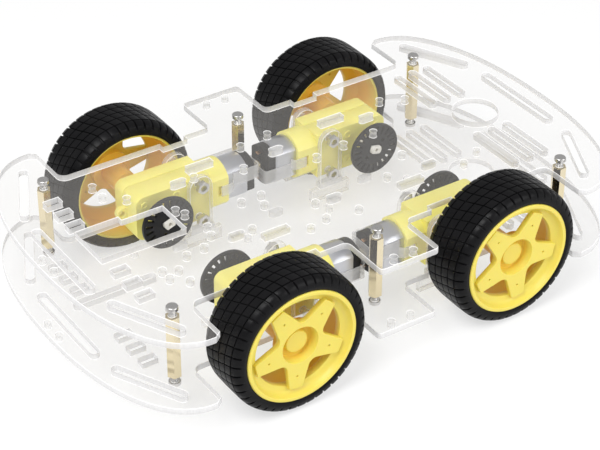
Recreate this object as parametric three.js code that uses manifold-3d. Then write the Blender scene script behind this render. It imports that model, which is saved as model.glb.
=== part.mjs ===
// Two-deck acrylic robot chassis: four geared motors, four yellow wheels.
// Millimetres, +X along the length, +Z up, the floor at z = 0.
import * as THREE from 'three';
import { mergeVertices } from 'three/addons/utils/BufferGeometryUtils.js';
import Module from 'manifold-3d';

const wasm = await Module();
wasm.setup();

// ---- driving dimensions -------------------------------------------------
const WHEEL_R = 32.5;
const WHEEL_X = 55.6;
const WHEEL_Y0 = 57.0;
const WHEEL_Y1 = 82.6;
const AXLE_Z = WHEEL_R;
const DECK_T = 3.0;
const STANDOFF_L = 30.0;
const LOW_Z = 16.5;
const UP_Z = LOW_Z + DECK_T + STANDOFF_L;
const PLATE_X = 130.0;
const TIP_X = 94.3;
const TIP_Y = 79.5;
const BAR_X = 91.2;
const WELL_Y = 54.5;
const TAB_X = 15.0;
const TAB_Y = 78.8;
const FILLET = 4.0;
const T_X = WHEEL_X - 20.5;
const T_HALF = 5.9;
const T_THICK = 2.9;
const T_IN_Y0 = 29.35;
const T_OUT_Y0 = 51.45;
const GEAR_Y0 = 32.4;
const GEAR_Y1 = 51.3;
const GEAR_H = 22.5;
const GEAR_FRONT = 11.3;
const SHELL_BACK = 26.4;
const GEAR_BACK = 36.8;
const SHROUD_FLAT = 9.4;
const CAN_BACK = 52.0;
const CAN_R = 10.0;
const CAN_FLAT = 7.6;
const BOLT_DZ = 8.75;
const DISC_R = 12.7;
const DISC_Y0 = 23.4;
const DISC_Y1 = 25.2;
const SHAFT_Y0 = 21.9;
const SHAFT_Y1 = 68.0;
const STAND_X = 99.6;
const STAND_Y = 54.6;
const SEG = 12;

const group = new THREE.Group();
group.name = 'robot_car_chassis';

const solidOf = (geometry) => {
  const g = geometry.clone();
  g.deleteAttribute('normal');
  g.deleteAttribute('uv');
  const m = mergeVertices(g, 1e-4);
  return new wasm.Manifold(new wasm.Mesh({
    numProp: 3,
    vertProperties: Float32Array.from(m.attributes.position.array),
    triVerts: Uint32Array.from(m.index.array),
  }));
};

const geometryOf = (solid) => {
  const mesh = solid.getMesh();
  const g = new THREE.BufferGeometry();
  g.setAttribute('position', new THREE.BufferAttribute(mesh.vertProperties, 3));
  g.setIndex(new THREE.BufferAttribute(mesh.triVerts, 1));
  const flat = g.toNonIndexed();
  flat.computeVertexNormals();
  return flat;
};

const colours = {
  acrylic: 0xe4e2e8,
  brass: 0xd9c486,
  steel: 0xb9bbc0,
  yellow: 0xf6e21c,
  black: 0x17181a,
  cream: 0xf2e24a,
  can: 0xb4b7bb,
  ivory: 0xe9e6df,
};

const add = (name, geometry, colour, extra = {}) => {
  const material = new THREE.MeshStandardMaterial({ color: colours[colour], ...extra });
  material.name = colour;
  const mesh = new THREE.Mesh(geometry, material);
  mesh.name = name;
  group.add(mesh);
  return mesh;
};

// a flat profile in x,z pushed along y from y0 to y1
const prismY = (shape, y0, y1, curve = 6) => {
  const g = new THREE.ExtrudeGeometry(shape, {
    depth: y1 - y0, bevelEnabled: false, curveSegments: curve,
  });
  g.rotateX(Math.PI / 2);
  g.translate(0, y1, 0);
  return g;
};

const cylY = (r, y0, y1, seg = SEG) => {
  const g = new THREE.CylinderGeometry(r, r, y1 - y0, seg);
  g.translate(0, (y0 + y1) / 2, 0);
  return g;
};

const box = (x0, x1, y0, y1, z0, z1) => {
  const g = new THREE.BoxGeometry(x1 - x0, y1 - y0, z1 - z0);
  g.translate((x0 + x1) / 2, (y0 + y1) / 2, (z0 + z1) / 2);
  return g;
};

const union = (...list) => list.reduce((a, b) => a.add(b));

// ---- the deck outline ---------------------------------------------------
const cornerPoints = (cx, cy, r, a0, a1, n = 3) => {
  const out = [];
  for (let i = 0; i <= n; i += 1) {
    const a = a0 + ((a1 - a0) * i) / n;
    out.push([cx + r * Math.cos(a), cy + r * Math.sin(a)]);
  }
  return out;
};

const quarter = () => {
  const out = [];
  const steps = 9;
  for (let i = 0; i <= steps; i += 1) {
    const t = (i / steps) * (Math.PI / 2);
    const x = TIP_X + (PLATE_X - TIP_X) * Math.cos(t) ** (2 / 2.25);
    const y = TIP_Y * Math.sin(t) ** (2 / 2.25);
    out.push([x, y]);
  }
  out.push([BAR_X, TIP_Y - 2.4]);
  const h = Math.PI / 2;
  out.push(...cornerPoints(BAR_X - FILLET, WELL_Y + FILLET, FILLET, 0, -h));
  out.push([T_X + T_HALF + 0.35, WELL_Y]);
  out.push([T_X + T_HALF + 0.35, T_OUT_Y0 - 0.15]);
  out.push([T_X - T_HALF - 0.35, T_OUT_Y0 - 0.15]);
  out.push([T_X - T_HALF - 0.35, WELL_Y]);
  out.push(...cornerPoints(TAB_X + 3, WELL_Y + 3, 3, 3 * h, 2 * h));
  out.push(...cornerPoints(TAB_X - 2, TAB_Y - 2, 2, 0, h, 2));
  return out;
};

const outline = () => {
  const q = quarter();
  const full = [];
  full.push(...q);
  full.push(...[...q].reverse().map(([x, y]) => [-x, y]));
  full.push(...q.slice(1).map(([x, y]) => [-x, -y]));
  full.push(...[...q.slice(1)].reverse().map(([x, y]) => [x, -y]));
  return new THREE.Shape(full.map(([x, y]) => new THREE.Vector2(x, y)));
};

const roundHole = (x, y, r, n = 8) => {
  const pts = [];
  for (let i = 0; i < n; i += 1) {
    const a = -((i + 0.5) / n) * Math.PI * 2;
    pts.push(new THREE.Vector2(x + r * Math.cos(a), y + r * Math.sin(a)));
  }
  return new THREE.Path(pts);
};

const slotHole = (x, y, length, width, angle = 0, n = 3) => {
  const pts = [];
  const r = width / 2;
  const half = length / 2 - r;
  for (let side = 1; side >= -1; side -= 2) {
    for (let i = 0; i <= n; i += 1) {
      const a = (side * Math.PI) / 2 - (i / n) * Math.PI;
      pts.push([side * half + r * Math.cos(a), r * Math.sin(a)]);
    }
  }
  const c = Math.cos(angle);
  const s = Math.sin(angle);
  return new THREE.Path(pts.map(([u, v]) => new THREE.Vector2(x + u * c - v * s, y + u * s + v * c)));
};

const rectHole = (x0, x1, y0, y1) => new THREE.Path([
  new THREE.Vector2(x0, y0), new THREE.Vector2(x0, y1),
  new THREE.Vector2(x1, y1), new THREE.Vector2(x1, y0),
]);

const both = (list) => list.flatMap(([x, y]) => [[x, y], [x, -y]]);

const commonHoles = () => {
  const holes = [];
  for (const sx of [-1, 1]) {
    holes.push(slotHole(sx * 119.2, 0, 50, 4.4, Math.PI / 2, 2));
    for (const sy of [-1, 1]) {
      const a = Math.atan2(-sy * 34.3, sx * 16.9);
      holes.push(slotHole(sx * 110.2, sy * 52.4, 36.5, 4, a, 2));
      holes.push(roundHole(sx * STAND_X, sy * STAND_Y, 1.7));
      holes.push(rectHole(sx * T_X - 6.3, sx * T_X + 6.3, sy * 30.8 - 1.65, sy * 30.8 + 1.65));
      holes.push(slotHole(sx * 50.1, sy * 23.8, 7.4, 3, 0, 2));
      holes.push(roundHole(sx * 5, sy * 73.6, 1.6, 6));
    }
  }
  for (const sy of [-1, 1]) {
    holes.push(roundHole(0, sy * STAND_Y, 1.7));
    holes.push(slotHole(0, sy * 22.8, 7, 3.4, 0, 2));
    for (const x of [82.9, 91.3, 99.7]) {
      holes.push(slotHole(x, sy * 30.3, 30.4, 3.7, Math.PI / 2, 2));
    }
    for (const y of [19.4, 29.3, 39.2]) {
      holes.push(rectHole(-106.9, -99.5, sy * y - 2.1, sy * y + 2.1));
    }
    holes.push(roundHole(-126, sy * 5, 1.5, 6));
  }
  holes.push(roundHole(94.8, 0, 10.6, 20));
  return holes;
};

const upperHoles = [
  [-62, 6], [-60, 1.5], [-35, -4], [-25, -4], [-28, -11], [-59, -18], [-57, -12],
  [-75, -25], [-66, -24], [-89, -29], [-89, -35], [-83, -32], [-83, -41], [-42, -23.5],
  [-11.5, -34], [-21, -36.5], [-9, -22], [29, -22], [45, -11], [74.5, -27],
  [63.5, -32], [4, -36], [12, 8], [28, 10], [45, 11], [-20, 18], [-42, 24],
  [63.5, 32], [74.5, 27], [-75, 25], [-83, 32], [-83, 41], [-11.5, 34], [4, 36],
];

const plug = (path) => {
  const g = new THREE.ExtrudeGeometry(new THREE.Shape(path.getPoints(1).slice().reverse()), {
    depth: DECK_T + 2, bevelEnabled: false, curveSegments: 1,
  });
  g.translate(0, 0, -1);
  return solidOf(g);
};

const deck = (name, z, extraHoles) => {
  const g = new THREE.ExtrudeGeometry(outline(), {
    depth: DECK_T, bevelEnabled: false, curveSegments: 1,
  });
  const cuts = union(...[...commonHoles(), ...extraHoles].map(plug));
  const plate = geometryOf(solidOf(g).subtract(cuts));
  plate.translate(0, 0, z);
  add(name, plate, 'acrylic', { transparent: true, opacity: 0.35, roughness: 0.1 });
};

const windowPath = new THREE.Path([
  [-106, -9], [-106, 13.9], [-85.5, 13.9], [-85.5, 10.9], [-65.5, 10.9], [-65.5, -9],
].map(([x, y]) => new THREE.Vector2(x, y)));

deck('upper_deck', UP_Z, [
  windowPath,
  ...upperHoles.map(([x, y]) => roundHole(x, y, 1.6, 6)),
]);
deck('lower_deck', LOW_Z, [
  slotHole(-91, 9.9, 40, 4, 0, 2),
  ...both([[-22, 12], [22, 12], [66, 12], [63.5, 30], [-70, 30]]).map(([x, y]) => roundHole(x, y, 1.6, 6)),
]);

// ---- standoffs and their screws ----------------------------------------
const hexShape = (af, bore) => {
  const pts = [];
  for (let i = 0; i < 6; i += 1) {
    const a = (i / 6) * Math.PI * 2;
    pts.push(new THREE.Vector2((af / Math.sqrt(3)) * Math.cos(a), (af / Math.sqrt(3)) * Math.sin(a)));
  }
  const s = new THREE.Shape(pts);
  if (bore) {
    s.holes = [roundHole(0, 0, bore / 2, 8)];
  }
  return s;
};

// pan head up, shank down, the seat under the head at z = 0, a cross recess
const panScrew = (length, headR = 2.6, headH = 1.8) => {
  const profile = [
    [0, -length], [1.4, -length], [1.4, 0], [headR, 0],
    [headR, headH * 0.5], [headR * 0.68, headH], [0, headH],
  ].map(([r, z]) => new THREE.Vector2(r, z));
  const g = new THREE.LatheGeometry(profile, 8);
  g.rotateX(Math.PI / 2);
  const a = solidOf(box(-1.5, 1.5, -0.35, 0.35, headH - 1.0, headH + 1));
  const b = solidOf(box(-0.35, 0.35, -1.5, 1.5, headH - 1.0, headH + 1));
  return solidOf(g).subtract(a).subtract(b);
};

const screwSolid = panScrew(8);
const posts = [];
for (const [px, xs] of [['rear', -STAND_X], ['mid', 0], ['front', STAND_X]]) {
  for (const [py, ys] of [['right', -STAND_Y], ['left', STAND_Y]]) {
    posts.push([`${px}_${py}`, xs, ys]);
  }
}
for (const [tag, x, y] of posts) {
  const g = new THREE.ExtrudeGeometry(hexShape(5.6, 3.2), {
    depth: STANDOFF_L, bevelEnabled: false, curveSegments: 1,
  });
  const post = add(`standoff_${tag}`, g, 'brass', { metalness: 0.9, roughness: 0.35 });
  post.position.set(x, y, LOW_Z + DECK_T);
  const top = add(`screw_top_${tag}`, geometryOf(screwSolid), 'steel', { metalness: 1, roughness: 0.3 });
  top.position.set(x, y, UP_Z + DECK_T);
  top.rotation.z = 0.6 + x * 0.01;
  const low = add(`screw_low_${tag}`, geometryOf(screwSolid), 'steel', { metalness: 1, roughness: 0.3 });
  low.position.set(x, y, LOW_Z);
  low.rotation.x = Math.PI;
}

// ---- one motor corner ---------------------------------------------------
// local frame: the axle at the origin, +X towards the car end, +Y outward
const tPlateShape = () => {
  const s = new THREE.Shape();
  const dz = -AXLE_Z;
  const bar0 = LOW_Z - 6.4 + dz;
  const deck0 = LOW_Z - 0.1 + dz;
  const top = LOW_Z + DECK_T + 26.5 + dz;
  const cx = -20.5;
  s.moveTo(cx - 10.5, bar0);
  s.lineTo(cx + 10.5, bar0);
  s.lineTo(cx + 10.5, deck0);
  s.lineTo(cx + T_HALF, deck0);
  s.lineTo(cx + T_HALF, top - T_HALF);
  s.absarc(cx, top - T_HALF, T_HALF, 0, Math.PI, false);
  s.lineTo(cx - T_HALF, deck0);
  s.lineTo(cx - 10.5, deck0);
  s.closePath();
  for (const z of [-BOLT_DZ, BOLT_DZ]) {
    s.holes.push(roundHole(cx, z, 1.7, 8));
  }
  return s;
};

const barX = (r, x0, x1, y, z = 0) => {
  const g = cylY(r, x0, x1, 10);
  g.rotateZ(-Math.PI / 2);
  g.translate(0, y, z);
  return solidOf(g);
};

const gearboxSolid = () => {
  const s = new THREE.Shape();
  const h = GEAR_H / 2;
  s.moveTo(-SHELL_BACK, -h);
  s.lineTo(GEAR_FRONT - 4, -h);
  s.absarc(GEAR_FRONT - 4, -h + 4, 4, -Math.PI / 2, 0, false);
  s.lineTo(GEAR_FRONT, h - 4);
  s.absarc(GEAR_FRONT - 4, h - 4, 4, 0, Math.PI / 2, false);
  s.lineTo(-SHELL_BACK, h);
  s.closePath();
  s.holes.push(roundHole(0, 0, 3.1, 12));
  for (const z of [-BOLT_DZ, BOLT_DZ]) {
    s.holes.push(roundHole(-20.5, z, 1.7, 8));
  }
  let body = solidOf(prismY(s, GEAR_Y0, GEAR_Y1, 3));
  const mid = (GEAR_Y0 + GEAR_Y1) / 2;
  // the round-topped shroud that takes the front of the motor
  body = body.add(flattedBar(h, SHROUD_FLAT, -GEAR_BACK, -SHELL_BACK + 0.5));
  const tab = solidOf(box(GEAR_FRONT - 1, GEAR_FRONT + 5, mid - 1.4, mid + 1.4, -3, 3));
  body = body.add(tab);
  const tabHole = cylY(1.5, mid - 3, mid + 3, 8);
  tabHole.translate(GEAR_FRONT + 2.6, 0, 0);
  body = body.subtract(solidOf(tabHole));
  // socket for the front boss of the motor
  body = body.subtract(barX(3.4, -GEAR_BACK - 1, -GEAR_BACK + 3.1, mid));
  // parting groove round the case
  for (const z of [-h, h]) {
    body = body.subtract(solidOf(box(-SHELL_BACK + 1, GEAR_FRONT - 5, mid + 3, mid + 3.5, z - 0.4, z + 0.4)));
  }
  // windows in the sides that the motor strap hooks into
  for (const y of [mid - SHROUD_FLAT, mid + SHROUD_FLAT]) {
    body = body.subtract(solidOf(box(-GEAR_BACK + 3.4, -GEAR_BACK + 5.6, y - 2, y + 2, -2.7, 2.7)));
  }
  return body;
};

// a round bar with two flats facing +Y and -Y, lying along x from x0 to x1
const flattedBar = (r, flat, x0, x1) => {
  const pts = [];
  const a0 = Math.acos(flat / r);
  const n = 6;
  for (const start of [0, Math.PI]) {
    for (let i = 0; i <= n; i += 1) {
      const a = start + a0 + ((Math.PI - 2 * a0) * i) / n;
      pts.push(new THREE.Vector2(-r * Math.sin(a), r * Math.cos(a)));
    }
  }
  const g = new THREE.ExtrudeGeometry(new THREE.Shape(pts), {
    depth: x1 - x0, bevelEnabled: false, curveSegments: 1,
  });
  g.rotateY(-Math.PI / 2);
  g.translate(x1, (GEAR_Y0 + GEAR_Y1) / 2, 0);
  return solidOf(g);
};

// a steel shell with a vent in its rear end
const canSolid = () => {
  const mid = (GEAR_Y0 + GEAR_Y1) / 2;
  const wall = 1.0;
  const front = -GEAR_BACK - 0.05;
  const shell = flattedBar(CAN_R, CAN_FLAT, -CAN_BACK, front)
    .subtract(flattedBar(CAN_R - wall, CAN_FLAT - wall, -CAN_BACK + wall, front - wall));
  const boss = barX(3.1, front - 0.5, front + 2.85, mid);
  const stub = barX(2.4, -CAN_BACK - 1.5, -CAN_BACK + 0.5, mid);
  const vent = barX(1.1, -CAN_BACK - 1, -CAN_BACK + 2, mid, 6);
  return union(shell, boss, stub).subtract(vent);
};

const boltSolid = () => {
  const yHead = T_OUT_Y0 + T_THICK;
  const yNut = T_IN_Y0;
  const g = new THREE.LatheGeometry([
    [0, yNut - 3.6], [1.45, yNut - 3.6], [1.45, yHead], [2.8, yHead],
    [2.8, yHead + 0.9], [2.0, yHead + 1.8], [0, yHead + 1.8],
  ].map(([r, y]) => new THREE.Vector2(r, y)), 8);
  const nut = new THREE.CylinderGeometry(3.15, 3.15, 2.3, 6);
  nut.translate(0, yNut - 1.15, 0);
  return union(solidOf(g), solidOf(nut));
};

// output shaft with two flats, through the case, the disc and the hub
const shaftSolid = () => {
  const shaft = solidOf(cylY(2.7, SHAFT_Y0, SHAFT_Y1, 12));
  const keep = solidOf(box(-3, 3, SHAFT_Y0 - 1, SHAFT_Y1 + 1, -1.85, 1.85));
  const collar = solidOf(cylY(2.7, GEAR_Y0 + 0.5, GEAR_Y1 - 0.5, 12));
  return union(shaft.intersect(keep), collar);
};

const discSolid = () => {
  const shape = new THREE.Shape();
  shape.absarc(0, 0, DISC_R, 0, Math.PI * 2, false);
  const holes = [];
  for (let i = 0; i < 20; i += 1) {
    const a = (i / 20) * Math.PI * 2;
    const c = Math.cos(a);
    const s = Math.sin(a);
    const pts = [[8.2, -0.5], [8.2, 0.5], [11.6, 0.7], [11.6, -0.7]];
    holes.push(new THREE.Path(pts.map(([u, v]) => new THREE.Vector2(u * c - v * s, u * s + v * c))));
  }
  holes.push(rectHole(-2.85, 2.85, -2.05, 2.05));
  const cuts = holes.map((path) => solidOf(prismY(new THREE.Shape(path.getPoints(1)), DISC_Y0 - 1, DISC_Y1 + 1)));
  return solidOf(prismY(shape, DISC_Y0, DISC_Y1, 12)).subtract(union(...cuts));
};

// ---- wheel --------------------------------------------------------------
const WSEG = 30;
const ring = (profile, seg = WSEG) => solidOf(new THREE.LatheGeometry(
  [...profile, profile[0]].map(([r, y]) => new THREE.Vector2(r, y)), seg,
));

// the five-armed star: arms narrow towards the rim, round valleys between them
const starShape = () => {
  const tipR = 21.6;
  const tipHalf = 3.3;
  const valleyR = 11.4;
  const arms = 5;
  const pts = [];
  for (let i = 0; i < arms; i += 1) {
    const mid = (i / arms) * Math.PI * 2 - Math.PI / 2;
    const turn = (u, v, a) => [u * Math.cos(a) - v * Math.sin(a), u * Math.sin(a) + v * Math.cos(a)];
    pts.push(turn(tipR, -tipHalf, mid), turn(tipR, tipHalf, mid));
    const gap = mid + Math.PI / arms;
    pts.push(turn(valleyR + 1.6, -2.9, gap), turn(valleyR, 0, gap), turn(valleyR + 1.6, 2.9, gap));
  }
  return new THREE.Shape(pts.map(([u, v]) => new THREE.Vector2(u, v)));
};

const rimSolid = () => {
  const y0 = WHEEL_Y0;
  const y1 = WHEEL_Y1;
  let rim = ring([
    [25.3, y0 + 1.0], [26.3, y0 + 1.0], [26.3, y1 - 0.8], [25.7, y1], [24.3, y1],
    [22.6, y1 - 3.4], [20.4, y1 - 4.0], [20.4, y1 - 6.0], [24.4, y1 - 9.0],
  ]);
  const star = prismY(starShape(), y1 - 4.4, y1 - 1.8);
  rim = rim.add(solidOf(star));
  const hub = solidOf(new THREE.LatheGeometry([
    [0, y0 + 4], [5.6, y0 + 4], [5.6, y1 - 8.4], [10, y1 - 8.4], [10, y1 - 3], [0, y1 - 3],
  ].map(([r, y]) => new THREE.Vector2(r, y)), 15));
  rim = rim.add(hub);
  const dish = ring([[5.3, y1 - 6.8], [8.2, y1 - 6.8], [8.7, y1 - 1], [5, y1 - 1]], 15);
  const lowered = solidOf(cylY(5.2, y1 - 4.6, y1 - 1, 15));
  rim = rim.subtract(dish.add(lowered));
  const bore = solidOf(cylY(2.95, y0 + 3, 68.4, 12));
  const keep = solidOf(box(-4, 4, y0, 70, -2.15, 2.15));
  return rim.subtract(bore.intersect(keep));
};

const tyreSolid = () => {
  const y0 = WHEEL_Y0;
  const y1 = WHEEL_Y1;
  const profile = [
    [26.4, y0], [29.6, y0], [31.6, y0 + 1.5], [32.5, y0 + 4],
    [32.5, y1 - 4], [31.6, y1 - 1.5], [29.0, y1 - 0.2], [26.4, y1 - 0.2],
  ];
  return ring(profile);
};

const T_GEO = [
  ['inner', T_IN_Y0],
  ['outer', T_OUT_Y0],
];

// name, end, side, and how far the wheel has rolled, in degrees
const corners = [
  ['front_left', 1, 1, 14],
  ['front_right', 1, -1, -6.6],
  ['rear_left', -1, 1, -20],
  ['rear_right', -1, -1, 5.6],
];

const gearbox = gearboxSolid();
const can = canSolid();
const bolt = boltSolid();
const shaft = shaftSolid();
const rim = rimSolid();
const tyre = tyreSolid();
const disc = discSolid();

const placed = (solid, sx, sy) => {
  let s = solid;
  if (sx < 0) {
    s = s.mirror([1, 0, 0]);
  }
  if (sy < 0) {
    s = s.mirror([0, 1, 0]);
  }
  return geometryOf(s);
};

for (const [tag, sx, sy, roll] of corners) {
  const at = (name, solid, colour, extra, dx = 0, dz = 0) => {
    const mesh = add(`${name}_${tag}`, placed(solid, sx, sy), colour, extra);
    mesh.position.set(sx * (WHEEL_X + dx), 0, AXLE_Z + dz);
    return mesh;
  };
  at('gearbox', gearbox, 'cream', { roughness: 0.5 });
  at('motor_can', can, 'can', { metalness: 0.9, roughness: 0.35 });
  for (const [side, y] of T_GEO) {
    const plate = solidOf(prismY(tPlateShape(), y, y + T_THICK, 4));
    at(`mount_plate_${side}`, plate, 'acrylic', { transparent: true, opacity: 0.35 });
  }
  at('motor_bolt_top', bolt, 'steel', { metalness: 1, roughness: 0.3 }, -20.5, BOLT_DZ);
  at('motor_bolt_low', bolt, 'steel', { metalness: 1, roughness: 0.3 }, -20.5, -BOLT_DZ);
  const turned = [
    ['output_shaft', shaft, 'ivory', { roughness: 0.5 }],
    ['encoder_disc', disc, 'black', { roughness: 0.5 }],
    ['wheel_rim', rim, 'yellow', { roughness: 0.45 }],
    ['tyre', tyre, 'black', { roughness: 0.7 }],
  ];
  for (const [name, solid, colour, extra] of turned) {
    at(name, solid, colour, extra).rotation.y = THREE.MathUtils.degToRad(roll);
  }
}

export default group;
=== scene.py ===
"""Looks for the double-deck acrylic robot car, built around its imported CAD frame.

Metres, in the CAD's frame: +X along the car, +Y to its left, +Z up, the floor at z = 0.
"""

import math

import bmesh
import bpy
from mathutils import Matrix, Vector


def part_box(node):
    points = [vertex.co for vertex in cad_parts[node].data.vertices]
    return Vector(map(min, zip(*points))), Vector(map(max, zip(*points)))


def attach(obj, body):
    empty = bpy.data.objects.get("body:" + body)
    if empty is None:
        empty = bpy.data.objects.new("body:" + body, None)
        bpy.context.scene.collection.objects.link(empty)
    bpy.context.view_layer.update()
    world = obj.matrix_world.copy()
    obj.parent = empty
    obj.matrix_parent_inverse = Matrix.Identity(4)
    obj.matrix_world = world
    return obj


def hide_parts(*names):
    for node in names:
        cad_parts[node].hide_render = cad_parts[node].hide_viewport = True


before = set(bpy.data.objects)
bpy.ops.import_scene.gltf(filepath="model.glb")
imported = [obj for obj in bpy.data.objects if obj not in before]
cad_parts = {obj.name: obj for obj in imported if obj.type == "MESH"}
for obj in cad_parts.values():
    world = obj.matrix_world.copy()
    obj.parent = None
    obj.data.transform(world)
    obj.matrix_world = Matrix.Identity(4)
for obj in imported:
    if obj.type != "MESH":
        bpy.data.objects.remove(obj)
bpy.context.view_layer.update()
MM = 0.001
TAU = 2 * math.pi

# ---- sizes read from the frame -------------------------------------------
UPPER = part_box("upper_deck")
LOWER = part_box("lower_deck")
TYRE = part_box("tyre_front_left")
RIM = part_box("wheel_rim_front_left")
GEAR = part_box("gearbox_front_left")
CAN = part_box("motor_can_front_left")
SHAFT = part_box("output_shaft_front_left")
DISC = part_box("encoder_disc_front_left")
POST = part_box("standoff_front_left")
PLATE_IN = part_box("mount_plate_inner_front_left")
PLATE_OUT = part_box("mount_plate_outer_front_left")
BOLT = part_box("motor_bolt_top_front_left")

WHEEL_X = (TYRE[0].x + TYRE[1].x) / 2
AXLE_Z = (TYRE[0].z + TYRE[1].z) / 2
WHEEL_R = (TYRE[1].z - TYRE[0].z) / 2
PLATE_X = UPPER[1].x
TIP_Y = UPPER[1].y
STAND_X = (POST[0].x + POST[1].x) / 2
STAND_Y = (POST[0].y + POST[1].y) / 2
T_X = (PLATE_IN[0].x + PLATE_IN[1].x) / 2
BOLT_DZ = (BOLT[0].z + BOLT[1].z) / 2 - AXLE_Z
MOTOR_Y = (GEAR[0].y + GEAR[1].y) / 2
DISC_R = (DISC[1].z - DISC[0].z) / 2
STAR_TOP = TYRE[1].y - 1.8 * MM

CORNERS = {
    "front_left": (1, 1, 14.0),
    "front_right": (1, -1, -6.6),
    "rear_left": (-1, 1, -20.0),
    "rear_right": (-1, -1, 5.6),
}
POSTS = {
    f"{end}_{side}": (ex * STAND_X, sy * STAND_Y)
    for end, ex in (("front", 1), ("mid", 0), ("rear", -1))
    for side, sy in (("left", 1), ("right", -1))
}


# ---- materials -------------------------------------------------------------
SHEET_VEIL = 0.083
ARRIS_W = 0.22 * MM


def new_material(name, colour, roughness, metallic=0.0, **sockets):
    """A Principled material. Keywords are socket names with underscores for spaces."""
    mat = bpy.data.materials.new(name)
    mat.use_nodes = True
    bsdf = mat.node_tree.nodes["Principled BSDF"]
    bsdf.inputs["Base Color"].default_value = (*colour, 1.0)
    bsdf.inputs["Roughness"].default_value = roughness
    bsdf.inputs["Metallic"].default_value = metallic
    for key, value in sockets.items():
        bsdf.inputs[key.replace("_", " ")].default_value = value
    return mat


def noise(mat, scale, detail=4.0, stretch=(1, 1, 1)):
    """A noise texture in the piece's own space, for the nodes below."""
    tree = mat.node_tree
    coord = tree.nodes.new("ShaderNodeTexCoord")
    mapping = tree.nodes.new("ShaderNodeMapping")
    mapping.inputs["Scale"].default_value = stretch
    tex = tree.nodes.new("ShaderNodeTexNoise")
    tex.inputs["Scale"].default_value = scale
    tex.inputs["Detail"].default_value = detail
    tree.links.new(coord.outputs["Object"], mapping.inputs["Vector"])
    tree.links.new(mapping.outputs["Vector"], tex.inputs["Vector"])
    return tex


def vary_colour(mat, tex, low, high, start=0.35, stop=0.7):
    """Run the base colour from low to high over the texture."""
    tree = mat.node_tree
    ramp = tree.nodes.new("ShaderNodeValToRGB")
    ramp.color_ramp.elements[0].position = start
    ramp.color_ramp.elements[0].color = (*low, 1)
    ramp.color_ramp.elements[1].position = stop
    ramp.color_ramp.elements[1].color = (*high, 1)
    tree.links.new(tex.outputs["Fac"], ramp.inputs["Fac"])
    tree.links.new(ramp.outputs["Color"], tree.nodes["Principled BSDF"].inputs["Base Color"])


def vary_roughness(mat, tex, low, high, start=0.3, stop=0.7):
    """Run the roughness from low to high over the texture."""
    tree = mat.node_tree
    spread = tree.nodes.new("ShaderNodeMapRange")
    spread.inputs["From Min"].default_value = start
    spread.inputs["From Max"].default_value = stop
    spread.inputs["To Min"].default_value = low
    spread.inputs["To Max"].default_value = high
    tree.links.new(tex.outputs["Fac"], spread.inputs["Value"])
    tree.links.new(spread.outputs["Result"], tree.nodes["Principled BSDF"].inputs["Roughness"])


def bump(mat, tex, strength, distance):
    """Fine relief from the texture."""
    tree = mat.node_tree
    node = tree.nodes.new("ShaderNodeBump")
    node.inputs["Strength"].default_value = strength
    node.inputs["Distance"].default_value = distance
    tree.links.new(tex.outputs["Fac"], node.inputs["Height"])
    tree.links.new(node.outputs["Normal"], tree.nodes["Principled BSDF"].inputs["Normal"])


def acrylic_material():
    """Clear sheet: each face veils what is behind it a little."""
    mat = new_material("clear_acrylic", (0.64, 0.61, 0.59), 0.06, IOR=1.49, Alpha=SHEET_VEIL)
    vary_colour(mat, noise(mat, 30, 4, (1, 3, 1)), (0.61, 0.59, 0.565), (0.67, 0.65, 0.625))
    return mat


def edge_material():
    """The laser-cut walls of the same sheet: half clear, a cool grey."""
    mat = new_material("acrylic_cut_edge", (0.72, 0.715, 0.72), 0.25, IOR=1.49, Alpha=0.72)
    streaks = noise(mat, 2600, 2, (1, 1, 0.1))
    vary_colour(mat, streaks, (0.69, 0.685, 0.69), (0.76, 0.755, 0.76), 0.35, 0.6)
    return mat


def bore_material():
    """The walls of small holes and of the motor plates, clearer than the long cuts."""
    mat = new_material("acrylic_bore", (0.78, 0.775, 0.77), 0.2, IOR=1.49, Alpha=0.38)
    vary_colour(mat, noise(mat, 1200, 2), (0.72, 0.715, 0.71), (0.84, 0.835, 0.83))
    return mat


def arris_material():
    """The broken corners along a cut, with a painted highlight: near white, standing in for the light
    they catch as a white line.
    """
    # Painted highlight: near white and nearly opaque, lighter than the clear sheet.
    mat = new_material("acrylic_arris_painted_highlight", (0.97, 0.965, 0.96), 0.2, IOR=1.49, Alpha=0.85)
    vary_colour(mat, noise(mat, 900, 2), (0.90, 0.895, 0.89), (0.98, 0.975, 0.97))
    return mat


def rubber_material():
    """Matt black rubber with a fine grain."""
    mat = new_material("tyre_rubber", (0.006, 0.006, 0.007), 0.42, Specular_IOR_Level=0.10)
    grain = noise(mat, 900, 3)
    vary_colour(mat, noise(mat, 55, 5), (0.004, 0.004, 0.0045), (0.008, 0.0078, 0.0085))
    vary_roughness(mat, noise(mat, 120, 4), 0.30, 0.42)
    bump(mat, grain, 0.18, 0.0002)
    return mat


def map_range(tree, value, low, high):
    """value taken from low..high to 0..1, held at both ends."""
    node = tree.nodes.new("ShaderNodeMapRange")
    node.inputs["From Min"].default_value = low
    node.inputs["From Max"].default_value = high
    tree.links.new(value, node.inputs["Value"])
    return node.outputs["Result"]


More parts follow.
